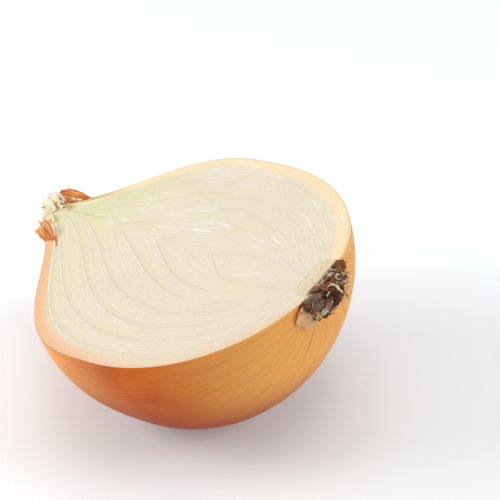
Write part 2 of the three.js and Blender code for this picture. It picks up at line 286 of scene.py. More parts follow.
# Painted shade: the skin is darker towards the floor, on the underside of the belly.
for share, colour in ((patchy, "#BE4E06"), (rooty, "#F4AC58"), (streak, "#A84C12"), (glow, "#F0A050"),
                      (painted_light, "#FFB566"), (low, "#8C2E02"), (veined, "#9A4A14"), (pale, "#F6D9A0")):
    tone = add(tree, "ShaderNodeMix", {0: share, 6: tone, 7: linear(colour)}, data_type="RGBA")
relief = add(tree, "ShaderNodeMath", {0: fibres, 1: veins}, operation="ADD")
bump = add(tree, "ShaderNodeBump", {"Strength": 0.2, "Distance": 0.0001, "Height": relief})
shader = add(tree, "ShaderNodeBsdfPrincipled", {
    "Base Color": tone, "Roughness": gloss, "IOR": 1.48, "Specular IOR Level": 0.14, "Normal": bump})
add(tree, "ShaderNodeOutputMaterial", {"Surface": shader})
skin.data.materials.append(skin_paper)
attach(skin, "root")
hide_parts("outer_skin")

# ---- Fleshy scales --------------------------------------------------------------------------
# Seven swollen leaf bases, one inside the other, and the youngest leaves in the middle. The knife
# left them level, moist and a little proud at their edges, where each one's thin membrane shows.

NECK_END = -50.4                # where the knife's face ends in the dried neck
RINGS = [
    layer_of(-57, 38.6, 2.3, 3.5, 0.2, side(38.3, 2.5, 3.2, 3.3, 0.57), side(32.8, 2, 3, 3.2, 0.6)),
    layer_of(-56, 38.0, 1.5, 3.6, 0.4, side(33.0, 3.5, 2.8, 2.55, 0.63), side(27.9, 2.5, 2.8, 2.6, 0.75)),
    layer_of(-54, 37.4, 0.9, 3.8, 0.6, side(28.0, 4.5, 2.6, 3.3, 0.69), side(23.2, 3, 2.6, 2.9, 0.85)),
    layer_of(-47.2, 37.0, 0, 4.2, 0.8, side(21.9, 7, 2.6, 2.8, 0.74), side(17.2, 3, 2.6, 2.5, 1)),
    layer_of(-34.4, 36.6, 0, 4.2, 1, side(16.6, 11.5, 2, 2, 0.8), side(11.7, 4, 2.4, 2.2, 1.05)),
    layer_of(-15.5, 36.2, 0, 1.4, 1, side(11.9, 13.5, 2.6, 1.6, 0.8), side(7.8, 7, 2.4, 1.6, 1)),
    layer_of(5, 35.5, 0, 0.8, 1, side(7, 18.5, 2.6, 1.2, 0.8), side(3.4, 18.5, 2.6, 1.2, 0.8)),
]
# Faint lines of thin leaves that the knife grazed, on the flatter side and in the bud (x, y).
GRAZED = [
    [(2, 32.8), (8.2, 32.4), (12.3, 29.7), (16.4, 28.2), (20.5, 25.8), (23.8, 23)],
    [(16.4, 21.9), (20.9, 20.5), (24.6, 18), (28.7, 14.8), (31.6, 11.9)],
    [(0, 17.1), (8.2, 16.3), (12.3, 14.4), (16.4, 11.5), (23, 8.5)],
    [(0, 11.8), (8.2, 10.5), (16.4, 8.6)],
    [(-28.3, 5.3), (-20.5, 4.7), (-16.4, 5.6), (-8.2, 7.1), (0, 8.2)],
    [(15.6, -4.6), (19.6, -3.3), (23.5, -1.8)],
]
# Painted shade: a tan patch beside the neck stub, where a hollow lies in shadow. Its line (x, y),
# and how far it spreads.
PAINTED_SHADE_AT = np.array([(-51.0, 5.6), (-49.4, 5.6), (-46.8, 5.2)])
PAINTED_SHADE_REACH = 1.3
FLESH_MARKS = {"outer_edge": 9, "grazed": 9, "run": 0, "far": 0, "first": 0, "clear": 1, "dried": 0}
ACROSS = np.array([0, 0.02, 0.05, 0.1, 0.18, 0.3, 0.45, 0.6, 0.75, 0.86, 0.93, 0.97, 1.0])
GRAINS_FROM = 34.8              # where the basal plate's grains begin to cover the scales' ends
RIDGE = 0.045                   # mm that a membrane stands up from the cut
DIP = 0.02                      # mm that the flesh sinks beside it


def distance_to(points, line):
    """How far each point lies from a line of points, on the cut face, in mm."""
    best = np.full(points.shape[:-1], 1e9)
    for start, end in zip(line[:-1], line[1:]):
        step = end - start
        share = np.clip((points - start) @ step / max(step @ step, 1e-9), 0, 1)
        best = np.minimum(best, np.linalg.norm(points - start - share[..., None] * step, axis=-1))
    return best


def between(edge, other, shares):
    """Rows of points that go from one line to another by the shares given."""
    return edge[:, None] * (1 - shares[:, None]) + other[:, None] * shares[:, None]


def layer_grid(layer, start, rows, turns):
    """A layer's surface from its neck end to its base. A layer that the neck cuts is closed there."""
    blunt = layer["tip"] < start
    along = stations(layer, max(start, layer["tip"]), layer["base"], rows)
    share = np.ones_like(along)
    if blunt:
        along = np.concatenate([np.full((3, 1), start), along])
        share = np.concatenate([np.array([[0], [0.5], [0.85]]), share])
    swell = swelling(along, turns) if layer is layers[0] else 0
    return place_on(layer, along, turns, share, swell)


def face_relief(marks):
    """Height of the cut face: a fine membrane stands up along each edge, beside a shallow dip."""
    edge = np.minimum(marks["outer_edge"], marks["inner_edge"])
    ridge = RIDGE * np.exp(-(edge / 0.2) ** 2)
    dip = DIP * np.exp(-((marks["outer_edge"] - 0.9) / 0.5) ** 2)
    rim = 1 - marks["first"] * np.exp(-(marks["outer_edge"] / 0.5) ** 2)
    return (ridge - dip) * rim * (1 - 0.7 * marks["far"]) + 0.05 * rim


def off_plate(points):
    """How far points lie from the basal plate's middle, where 1 is its rim on the face."""
    return np.hypot((points[..., 0] - PLATE_FOOT) / 7.0, (points[..., 1] - PLATE_ASIDE) / 6.8)


def under_plate(points):
    """How far the face is let down where the basal plate lies over the scales' ends."""
    grainy = np.clip((points[..., 0] - GRAINS_FROM) / 0.6, 0, 1)
    return 0.7 * np.clip((1 - off_plate(points)) / 0.12, 0, 1) * grainy


def face_marks(points, outer_line, inner_line, first):
    """What the flesh's material reads at points on the cut face."""
    flat = points[..., :2]
    marks = {"outer_edge": distance_to(flat, outer_line), "run": points[..., 0], "first": float(first)}
    marks["inner_edge"] = distance_to(flat, inner_line) if inner_line is not None else 9.0
    marks["grazed"] = np.min([distance_to(flat, np.array(line, float)) for line in GRAZED], axis=0)
    marks["far"] = 1 / (1 + np.exp(-(points[..., 1] - 3.0) / 1.5))
    off_root = 0.45 + 0.55 * np.clip((26 - points[..., 0]) / 22, 0, 1)
    marks["clear"] = np.clip((off_plate(points) - 1.05) / 0.9, 0, 1) * off_root
    # Painted shade: a tan patch beside the neck, fading with distance from its line.
    marks["dried"] = np.exp(-(distance_to(flat, PAINTED_SHADE_AT) / PAINTED_SHADE_REACH) ** 2)
    return marks


layers = [shrunk(BULB, SKIN_WALL + 0.03), *RINGS]
few_turns = np.linspace(math.pi, 2 * math.pi, 33)
scales = []
for number in range(1, 8):
    rows = 130 if number < 4 else 100
    outer = layer_grid(layers[number - 1], NECK_END + 0.5 * (number - 1), rows, few_turns)
    inner = layer_grid(layers[number], NECK_END + 0.5 * number, rows, few_turns)
    if len(inner) < len(outer):
        inner = np.concatenate([np.repeat(inner[:1], len(outer) - len(inner), 0), inner])
    if number == 1:
        outer = rested(outer, SKIN_WALL + 0.03)
    grids = [(outer, {"run": outer[..., 0]}), (inner, {"run": inner[..., 0]})]
    outer_line = np.concatenate([outer[::-1, 0, :2], outer[:, -1, :2]])
    inner_line = np.concatenate([inner[::-1, 0, :2], inner[:, -1, :2]])
    for column in (0, -1):
        face = between(outer[:, column], inner[:, column], ACROSS)
        face[..., 2] = 0
        marks = face_marks(face, outer_line, inner_line, number == 1)
        face[..., 2] = face_relief(marks) - under_plate(face)
        grids.append((face, marks))
        outer[:, column] = face[:, 0]
        inner[:, column] = face[:, -1]
    scales.append(body_from(f"scale_{number}_flesh", grids, FLESH_MARKS))

outer = layer_grid(layers[7], NECK_END, 90, few_turns)
face = between(outer[:, 0], outer[:, -1], np.linspace(0, 1, 25))
outer_line = np.concatenate([outer[::-1, 0, :2], outer[:, -1, :2]])
marks = face_marks(face, outer_line, None, False)
face[..., 2] = face_relief(marks) - under_plate(face)
outer[:, 0] = face[:, 0]
outer[:, -1] = face[:, -1]
bud = body_from("bud_flesh", [(outer, {"run": outer[..., 0]}), (face, marks)], FLESH_MARKS)

# Fresh onion flesh: wet, translucent plant tissue. Its membranes show as thin bright lines with a
# soft grey-beige shade inside them, and it is greenish towards the neck. Its colour also holds
# painted light: painted shade in a tan patch beside the neck, and painted highlights as white
# sparkles over the face and white streaks on the far side.
flesh, tree, from_outer, from_grazed, run, far, first, clear, dried = new_material(
    "Fresh onion flesh", "outer_edge", "grazed", "run", "far", "first", "clear", "dried")
where = add(tree, "ShaderNodeTexCoord").outputs["Object"]
cloud, broad, beads_and_sparkle = [
    add(tree, "ShaderNodeTexNoise", {"Vector": where, "Scale": scale, "Detail": detail})
    for scale, detail in ((110.0, 3.0), (28.0, 2.0), (2000.0, 1.0))]
grain = add(tree, "ShaderNodeCombineXYZ", {"X": from_outer, "Y": run})
grain_at = add(tree, "ShaderNodeVectorMath", {0: grain, 1: (1.6, 0.05, 1)}, operation="MULTIPLY")
strands = add(tree, "ShaderNodeTexNoise", {"Vector": grain_at, "Scale": 1.0, "Detail": 3.0})
shade, green, band, golden, line, grazed, broken = [
    add(tree, "ShaderNodeMapRange", dict(enumerate(span)), interpolation_type="SMOOTHSTEP")
    for span in ((from_outer, 0.2, 2.0, 0.6, 0.0), (run, -14.0, -46.0), (from_outer, 5.6, 0.8),
                 (run, -34.0, -44.0), (from_outer, 0.55, 0.1), (from_grazed, 0.55, 0.1),
                 (cloud, 0.38, 0.6))]
# Two of these shares paint highlights into the colour: fine white sparkles over the face, and white glint
# streaks on the far side.
stranded, near_share, green_far, near_neck, near_line, glint, painted_sparkle, gloss = [
    add(tree, "ShaderNodeMapRange", dict(enumerate(span)))
    for span in ((strands, 0.42, 0.7, 0.0, 0.4), (far, 0.0, 1.0, 1.0, 0.3), (far, 0.0, 1.0, 0.5, 1.3),
                 (run, 16.0, -14.0, 0.25, 1.0), (broken, 0.0, 1.0, 0.6, 1.0),
                 (strands, 0.56, 0.68, 0.0, 0.8), (beads_and_sparkle, 0.68, 0.78, 0.0, 0.7),
                 (cloud, 0.35, 0.65, 0.3, 0.46))]
not_first = add(tree, "ShaderNodeMath", {0: 1.0, 1: first}, operation="SUBTRACT")
band_weight = add(tree, "ShaderNodeMix", {0: far, 2: near_neck, 3: 0.9}, data_type="FLOAT")
faint = add(tree, "ShaderNodeMix", {0: far, 2: near_line, 3: broken}, data_type="FLOAT")
products = []
for factors in ((shade, near_share, clear), (green, cloud, green_far), (band, first, band_weight),
                (golden, far), (line, not_first, faint), (grazed, broken), (glint, far, broken)):
    product = factors[0]
    for factor in factors[1:]:
        product = add(tree, "ShaderNodeMath", {0: product, 1: factor}, operation="MULTIPLY")
    products.append(product)
shade, green, band, golden, line, grazed, glint = products
line = add(tree, "ShaderNodeMath", {0: line, 1: grazed}, operation="MAXIMUM")
line = add(tree, "ShaderNodeMath", {0: line, 1: clear}, operation="MULTIPLY")
line = add(tree, "ShaderNodeMath", {0: line, 1: glint}, operation="MAXIMUM")
band_tone = linear("#F2C296")
for share, colour in ((far, "#FFE6BA"), (golden, "#D8B068")):
    band_tone = add(tree, "ShaderNodeMix", {0: share, 6: band_tone, 7: linear(colour)}, data_type="RGBA")
tone = linear("#EADDC4")
for share, colour in ((broad, "#F0E7D4"), (stranded, "#E2D2B2"), (shade, "#DFCDAC"), (green, "#DCE49C"),
                      (band, band_tone), (line, "#FBF8EE"), (dried, "#C9A873"), (painted_sparkle, "#FFFFFF")):
    colour = linear(colour) if isinstance(colour, str) else colour
    tone = add(tree, "ShaderNodeMix", {0: share, 6: tone, 7: colour}, data_type="RGBA")
height = add(tree, "ShaderNodeMath", {0: strands, 1: beads_and_sparkle}, operation="ADD")
bump = add(tree, "ShaderNodeBump", {"Strength": 0.3, "Distance": 0.0002, "Height": height})
shader = add(tree, "ShaderNodeBsdfPrincipled", {
    "Base Color": tone, "Roughness": gloss, "IOR": 1.36, "Normal": bump, "Subsurface Weight": 0.25,
    "Subsurface Radius": (1.0, 0.85, 0.65), "Subsurface Scale": 0.0005})
add(tree, "ShaderNodeOutputMaterial", {"Surface": shader})
nodes = [*[f"scale_{number}" for number in range(1, 8)], "inner_bud"]
for piece, node in zip([*scales, bud], nodes):
    piece.data.materials.append(flesh)
    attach(piece, "root")
    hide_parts(node)

# ---- Basal plate ----------------------------------------------------------------------------
# The short squat stem that every scale grows from: dense yellowish tissue, which the knife left
# grainy. It has a rim of small white granules along the crust.

PLATE_RADIUS = 7.2
PLATE_TOP = 31.6
PLATE_FACE = 0.06               # mm that the grainy face stands over the scales' cut
GRAIN_SIZE = 0.5                # mm
GRAIN_HEIGHT = 0.26             # mm


def grains(points, size, height, seed):
    """Rounded grains of a size in mm, as a height at each point."""
    heights = [max(0.0, 0.6 - noise.voronoi(Vector((*(p / size),)) + Vector((seed, 0, 0)))[0][0])
               for p in points.reshape(-1, 3)]
    return height * np.array(heights).reshape(points.shape[:-1]) / 0.6


plate_turns = np.linspace(math.pi, 2 * math.pi, 61)
plate_arc = np.linspace(0, math.pi / 2, 40)[:, None]
plate_depth = PLATE_FOOT - PLATE_TOP
plate_x = np.concatenate([PLATE_TOP + plate_depth * (1 - np.cos(plate_arc)), [[PLATE_FOOT]]])
plate_r = PLATE_RADIUS * np.concatenate([np.sin(plate_arc), [[0]]])
plate_dome = grid_of(plate_x, plate_r * np.cos(plate_turns) + PLATE_ASIDE, plate_r * np.sin(plate_turns))
spread = np.linspace(0, 1, 90)
plate_face = between(plate_dome[:, 0], plate_dome[:, -1], spread)
rise = np.sin(math.pi * spread) ** 0.3 * np.clip(np.arange(len(plate_dome)) / 6, 0, 1)[:, None]
sunk = 0.4 * (1 - np.clip((plate_face[..., 0] - GRAINS_FROM) / 0.6, 0, 1))
plate_face[..., 2] = (PLATE_FACE - sunk) * rise
foot = np.clip((plate_face[..., 0] - 34.6) / 2.2, 0, 1)
plate_face[..., 2] += grains(plate_face, GRAIN_SIZE, GRAIN_HEIGHT, 3.0) * rise * foot
plate = body_from("basal_plate_tissue", [(plate_dome, {}), (plate_face, {"foot": foot})], {"foot": 0}, 60)

# Basal plate tissue: firm, pale yellow and grainy, with wet white granules.
plate_tissue, tree, foot = new_material("Basal plate tissue", "foot")
where = add(tree, "ShaderNodeTexCoord").outputs["Object"]
granule = add(tree, "ShaderNodeTexVoronoi", {"Vector": where, "Scale": 1500.0})
cloud = add(tree, "ShaderNodeTexNoise", {"Vector": where, "Scale": 500.0, "Detail": 3.0})
spots, pits = [add(tree, "ShaderNodeMapRange", dict(enumerate(span)))
               for span in ((granule, 0.45, 0.15), (granule, 0.5, 0.8, 0.0, 0.5))]
spots = add(tree, "ShaderNodeMath", {0: spots, 1: cloud}, operation="MULTIPLY")
spots, pits = [add(tree, "ShaderNodeMath", {0: share, 1: foot}, operation="MULTIPLY")
               for share in (spots, pits)]
tone = linear("#ECE0C8")
for share, colour in ((foot, "#E8D9B2"), (spots, "#FBF6E2"), (pits, "#C9B080")):
    tone = add(tree, "ShaderNodeMix", {0: share, 6: tone, 7: linear(colour)}, data_type="RGBA")
bump = add(tree, "ShaderNodeBump", {"Strength": 0.6, "Distance": 0.0003, "Height": spots})
shader = add(tree, "ShaderNodeBsdfPrincipled", {
    "Base Color": tone, "Roughness": 0.45, "IOR": 1.4, "Normal": bump, "Subsurface Weight": 0.3,
    "Subsurface Radius": (1.0, 0.75, 0.4), "Subsurface Scale": 0.0015})
add(tree, "ShaderNodeOutputMaterial", {"Surface": shader})
plate.data.materials.append(plate_tissue)
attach(plate, "root")
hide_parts("basal_plate")

# ---- Root crust -----------------------------------------------------------------------------
# The corky mass of dead root bases under the plate: brown lumps, flakes and stubs that dried
# together, with hollows between them.

CRUST_RADIUS = 9.2
CRUST_BACK = 38.5               # where its flat back lies against the bulb
CRUST_HEIGHT = 3.7
CRUST_ASIDE = 0.3
CRUST_SUNK = -0.5               # mm from the cut to the crust's own face
LUMP_ROWS = 41                  # rings of points along a lump

crust_turns = np.linspace(math.pi, 2 * math.pi, 81)
crust_arc = np.linspace(0, math.pi / 2, 36)[:, None]
crust_x = CRUST_BACK + CRUST_HEIGHT * np.sin(crust_arc)
crust_r = CRUST_RADIUS * np.cos(crust_arc) ** 0.7
crust_dome = grid_of(crust_x, crust_r * np.cos(crust_turns) + CRUST_ASIDE, crust_r * np.sin(crust_turns))


def lumpy(points, size, height, seed):
    """A rough lift in mm at each point, from turbulence of a size in mm."""
    lifts = [noise.turbulence(Vector((*(p / size),)) + Vector((0, seed, 0)), 4, True)
             for p in points.reshape(-1, 3)]
    return height * (np.array(lifts).reshape(points.shape[:-1]) - 0.6)


def unit(vectors):
    """The vectors, each made one long."""
    return vectors / np.linalg.norm(vectors, axis=-1, keepdims=True)


lift = lumpy(crust_dome, 2.6, 1.5, 5.0) * np.minimum(1, np.arange(36) / 3)[:, None]
outwards = unit(crust_dome - np.array([CRUST_BACK - 2, CRUST_ASIDE, 0]))
crust_dome = crust_dome + outwards * lift[..., None]
crust_dome[:, (0, -1), 2] = CRUST_SUNK
spread = np.linspace(0, 1, 60)
crust_face = between(crust_dome[:, 0], crust_dome[:, -1], spread)
crust_face[..., 2] = lumpy(crust_face, 1.6, 0.7, 1.0) * np.sin(math.pi * spread) + CRUST_SUNK
inwards = spread[:, None, None]
crust_back = crust_dome[:1] * (1 - inwards) + np.array([CRUST_BACK, CRUST_ASIDE, 0]) * inwards
crust = body_from("crust_cork", [(crust_dome, {}), (crust_face, {}), (crust_back, {})], {}, 75)


def curve_through(points, steps):
    """Points along a smooth curve through a few given points."""
    given = np.array(points, float)
    knots = np.array([2 * given[0] - given[1], *given, 2 * given[-1] - given[-2]])
    places = []
    for step in np.linspace(0, len(points) - 1 - 1e-6, steps):
        i, t = int(step), step - int(step)
        a, b, c, d = knots[i:i + 4]
        places.append(0.5 * (2 * b + (c - a) * t + (2 * a - 5 * b + 4 * c - d) * t ** 2
                             + (3 * b - a - 3 * c + d) * t ** 3))
    return np.array(places)


def lump_patches(path, widths, seed, shade):
    """A rough rounded lump along a path of points, as thick as widths says, with its own shade."""
    line = curve_through(path, LUMP_ROWS)
    ahead = unit(np.gradient(line, axis=0))
    first = unit(np.cross(ahead, [0.3, 0.2, 1.0]))
    second = np.cross(ahead, first)
    share = np.linspace(0, 1, LUMP_ROWS)
    closing = np.sqrt(np.clip(1 - (2 * share - 1) ** 4, 0, 1))
    radius = (np.interp(share, np.linspace(0, 1, len(widths)), widths) / 2 * closing)[:, None]
    ring = np.linspace(0, 2 * math.pi, 33)[None, :, None]
    round_it = first[:, None] * np.cos(ring) + second[:, None] * np.sin(ring)
    points = line[:, None] + round_it * radius[..., None]
    rough = (lumpy(points, 1.1, 0.7, seed) + lumpy(points, 0.4, 0.35, seed + 3)) * np.minimum(1, radius / 0.5)
    points = points + round_it * rough[..., None]
    return points, {"shade": np.full(points.shape[:2], shade)}


LUMPS = [
    ([(39.6, 7.9, -0.6), (40.3, 7.3, -0.5), (40.9, 6.4, -0.9)], [2.6, 3.2, 2.4], 2.0, 0.75),
    ([(39.4, 6.0, -0.5), (40.6, 5.6, -1.2)], [1.6, 1.4], 9.0, 0.5),
    ([(39.4, -8.7, -0.9), (40.0, -6.6, -0.8), (40.6, -4.7, -0.6), (41.1, -2.9, -0.4)],
     [1.1, 1.6, 1.5, 0.9], 3.0, 0.95),
    ([(39.2, -4.0, -0.2), (40.0, -2.4, 0.0), (41.2, -1.0, -0.1), (42.2, 0.4, -0.4)],
     [1.0, 1.5, 1.5, 1.0], 4.0, 0.9),
    ([(40.8, -7.8, -2.2), (41.8, -5.5, -2.2), (42.6, -3.2, -2.0)], [1.8, 2.4, 2.0], 5.0, 0.1),
    ([(42.2, 2.0, -1.0), (43.2, 0.2, -1.6), (44.2, -1.2, -2.8)], [1.8, 2.4, 2.0], 6.0, 0.35),
    ([(42.6, -1.2, -1.2), (43.4, -2.8, -2.4), (43.4, -4.6, -3.2)], [1.6, 2.2, 1.8], 7.0, 0.15),
    ([(41.6, 4.6, -1.0), (42.6, 3.0, -1.4), (43.0, 1.6, -1.6)], [1.6, 1.8, 1.4], 8.0, 0.4),
    ([(40.2, 1.4, -0.2), (41.2, 2.6, -0.3), (41.2, 4.2, -0.5)], [1.0, 1.3, 1.0], 1.0, 0.6),
    ([(41.6, 3.6, -3.6), (43.0, 1.4, -4.2), (43.2, -1.6, -5.0)], [1.8, 2.4, 1.8], 12.0, 0.3),
]
lumps_of_cork = body_from("crust_roots", [lump_patches(*lump) for lump in LUMPS], {"shade": 0.3}, 70)


def new_tree(name, sockets):
    """An empty geometry tree that grows things on a bed, and what it is given."""
    tree = bpy.data.node_groups.new(name, "GeometryNodeTree")
    tree.interface.new_socket("Geometry", in_out="OUTPUT", socket_type="NodeSocketGeometry")
    for label, kind in {"Geometry": "Geometry", **sockets, "Seed": "Int", "Material": "Material"}.items():
        tree.interface.new_socket(label, in_out="INPUT", socket_type="NodeSocket" + kind)
    given = add(tree, "NodeGroupInput").outputs
    spots = add(tree, "GeometryNodeDistributePointsOnFaces", {
        "Mesh": given["Geometry"], "Density": given["Density"], "Seed": given["Seed"]})
    return tree, given, spots


def set_on(tree, spots, shape, aim, scale):
    """Copies of a shape on the spots, turned to their aim, each with a shade of its own."""
    turned = add(tree, "FunctionNodeAlignRotationToVector", {"Vector": aim}, axis="Z")
    placed = add(tree, "GeometryNodeInstanceOnPoints", {
        "Points": spots, "Instance": shape, "Rotation": turned, "Scale": scale})
    pick = add(tree, "FunctionNodeRandomValue", {"Seed": 9})
    stored = add(tree, "GeometryNodeStoreNamedAttribute", {
        "Geometry": placed, "Name": "shade", "Value": pick}, domain="INSTANCE")
    return add(tree, "GeometryNodeRealizeInstances", {"Geometry": stored})


def shaken(tree, geometry, scale, detail, amount):
    """The geometry with its points pulled about by a noise."""
    pull = add(tree, "ShaderNodeTexNoise", {"Scale": scale, "Detail": detail}).outputs["Color"]
    centred = add(tree, "ShaderNodeVectorMath", {0: pull, 1: (0.5, 0.5, 0.5)}, operation="SUBTRACT")
    offset = add(tree, "ShaderNodeVectorMath", {0: centred, "Scale": amount}, operation="SCALE")
    return add(tree, "GeometryNodeSetPosition", {"Geometry": geometry, "Offset": offset})


def finish_tree(tree, geometry, material):
    """Ends a tree with its geometry made real, smooth and in its material."""
    smooth = add(tree, "GeometryNodeSetShadeSmooth", {"Geometry": geometry})
    ended = add(tree, "GeometryNodeRealizeInstances", {"Geometry": smooth})
    coloured = add(tree, "GeometryNodeSetMaterial", {"Geometry": ended, "Material": material})
    add(tree, "NodeGroupOutput", {"Geometry": coloured})


# The lumps and stubs of dead roots, scattered over the crust's dome.
lumps, given, spots = new_tree("Lumps on the crust", {
    "Density": "Float", "Size": "Float", "Roughness": "Float"})
lump = add(lumps, "GeometryNodeMeshIcoSphere", {"Radius": given["Size"], "Subdivisions": 2})
heading = add(lumps, "FunctionNodeRandomValue", {"Min": (-1, -1, -1), "Max": (1, 1, 1)},
              data_type="FLOAT_VECTOR")
stretch = add(lumps, "FunctionNodeRandomValue", {
    "Min": (0.35, 0.4, 0.7), "Max": (0.9, 1.0, 2.0), "Seed": 4}, data_type="FLOAT_VECTOR")
crumbled = shaken(lumps, set_on(lumps, spots, lump, heading, stretch), 900.0, 2.0, given["Roughness"])
finish_tree(lumps, crumbled, given["Material"])


def grown_on(name, grid, tree, sizes):
    """A plain mesh of what a tree grows on a grid of points."""
    bed = body_from(name + "_bed", [(grid, {})], {})
    modifier = bed.modifiers.new("grow", "NODES")
    modifier.node_group = tree
    for item in tree.interface.items_tree:
        if item.in_out == "INPUT" and item.name in sizes:
            modifier[item.identifier] = sizes[item.name]
    evaluated = bed.evaluated_get(bpy.context.evaluated_depsgraph_get())
    grown = in_scene(name, bpy.data.meshes.new_from_object(evaluated))
    bpy.data.objects.remove(bed)
    return grown


# Cork of dead roots: dry, brittle and matt, from near black in the hollows to rusty brown.
cork, tree, shade = new_material("Cork of dead roots", "shade")
where = add(tree, "ShaderNodeTexCoord").outputs["Object"]
mottle, patch = [add(tree, "ShaderNodeTexNoise", {"Vector": where, "Scale": scale, "Detail": detail})
                 for scale, detail in ((480.0, 4.0), (150.0, 1.0))]
dark = add(tree, "ShaderNodeMapRange", {0: mottle, 1: 0.38, 2: 0.62}, interpolation_type="SMOOTHSTEP")
rust, grey = [add(tree, "ShaderNodeMapRange", dict(enumerate(span)))
              for span in ((shade, 0.45, 1.0, 0.0, 0.85), (patch, 0.5, 0.66, 0.0, 0.7))]
tone = linear("#3E1F12")
for share, colour in ((dark, "#7C4524"), (rust, "#A85A26"), (grey, "#8C7660")):
    tone = add(tree, "ShaderNodeMix", {0: share, 6: tone, 7: linear(colour)}, data_type="RGBA")
bump = add(tree, "ShaderNodeBump", {"Strength": 0.8, "Distance": 0.0004, "Height": mottle})
shader = add(tree, "ShaderNodeBsdfPrincipled", {
    "Base Color": tone, "Roughness": 0.85, "IOR": 1.45, "Normal": bump})
add(tree, "ShaderNodeOutputMaterial", {"Surface": shader})

crumbs = grown_on("crust_lumps", crust_dome[3:], lumps, {
    "Density": 1.3e6, "Size": 0.0006, "Roughness": 0.0008, "Seed": 7, "Material": cork})
crust.data.materials.append(cork)
lumps_of_cork.data.materials.append(cork)
for piece in (crust, lumps_of_cork, crumbs):
    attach(piece, "root")
    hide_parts("root_crust")

# ---- Rootlets -------------------------------------------------------------------------------
# Thin dead roots, dried to grey-tan threads that curl out of the crust.

threads, given, spots = new_tree("Threads on a bed", {
    "Density": "Float", "Length": "Float", "Thickness": "Float", "Curl": "Float", "Curl scale": "Float",
    "Spread": "Float", "Lean": "Vector"})
aim = add(threads, "FunctionNodeRandomValue", {"Min": (-1, -1, -1), "Max": (1, 1, 1)},
          data_type="FLOAT_VECTOR")
aim = add(threads, "ShaderNodeVectorMath", {0: aim, "Scale": given["Spread"]}, operation="SCALE")
for pull in (spots.outputs["Normal"], given["Lean"]):
    aim = add(threads, "ShaderNodeVectorMath", {0: pull, 1: aim}, operation="ADD")
shortest = add(threads, "ShaderNodeMath", {0: given["Length"], 1: 0.4}, operation="MULTIPLY")
length = add(threads, "FunctionNodeRandomValue", {"Min": shortest, "Max": given["Length"], "Seed": 3})
straight = add(threads, "GeometryNodeCurvePrimitiveLine", {"End": (0, 0, 1)})
straight = add(threads, "GeometryNodeResampleCurve", {"Curve": straight, "Count": 9})
standing = set_on(threads, spots, straight, aim, length)
along = add(threads, "GeometryNodeSplineParameter")
pull = add(threads, "ShaderNodeMath", {0: along, 1: given["Curl"]}, operation="MULTIPLY")
curled = shaken(threads, standing, given["Curl scale"], 1.0, pull)
taper = add(threads, "ShaderNodeMapRange", {0: along, 3: 1.0, 4: 0.35})
gauge = add(threads, "ShaderNodeMath", {0: taper, 1: given["Thickness"]}, operation="MULTIPLY")
section = add(threads, "GeometryNodeCurvePrimitiveCircle", {"Resolution": 5, "Radius": 0.5})
tubes = add(threads, "GeometryNodeCurveToMesh", {
    "Curve": curled, "Profile Curve": section, "Scale": gauge, "Fill Caps": True})
finish_tree(threads, tubes, given["Material"])

# Dried root: matt grey-tan fibre, darker where it is thin and dead, some of it nearly cream.
root_fibre, tree, shade = new_material("Dried root fibre", "shade")
where = add(tree, "ShaderNodeTexCoord").outputs["Object"]
mottle = add(tree, "ShaderNodeTexNoise", {"Vector": where, "Scale": 700.0, "Detail": 3.0})
spot = add(tree, "ShaderNodeMapRange", {0: mottle, 1: 0.5, 2: 0.68, 3: 0.0, 4: 0.7})
tone = linear("#9C8264")
for share, colour in ((shade, "#E4D3AC"), (spot, "#5E4026")):
    tone = add(tree, "ShaderNodeMix", {0: share, 6: tone, 7: linear(colour)}, data_type="RGBA")
bump = add(tree, "ShaderNodeBump", {"Strength": 0.5, "Distance": 0.0002, "Height": mottle})
shader = add(tree, "ShaderNodeBsdfPrincipled", {
    "Base Color": tone, "Roughness": 0.8, "IOR": 1.45, "Normal": bump})
add(tree, "ShaderNodeOutputMaterial", {"Surface": shader})

rootlets = grown_on("rootlets", crust_dome[6:], threads, {
    "Density": 2.2e5, "Length": 0.0026, "Thickness": 0.0004, "Curl": 0.006,
    "Curl scale": 400.0, "Spread": 1.2,
    "Lean": tuple(lean @ np.array([0.3, 0.2, 0])), "Seed": 11, "Material": root_fibre})

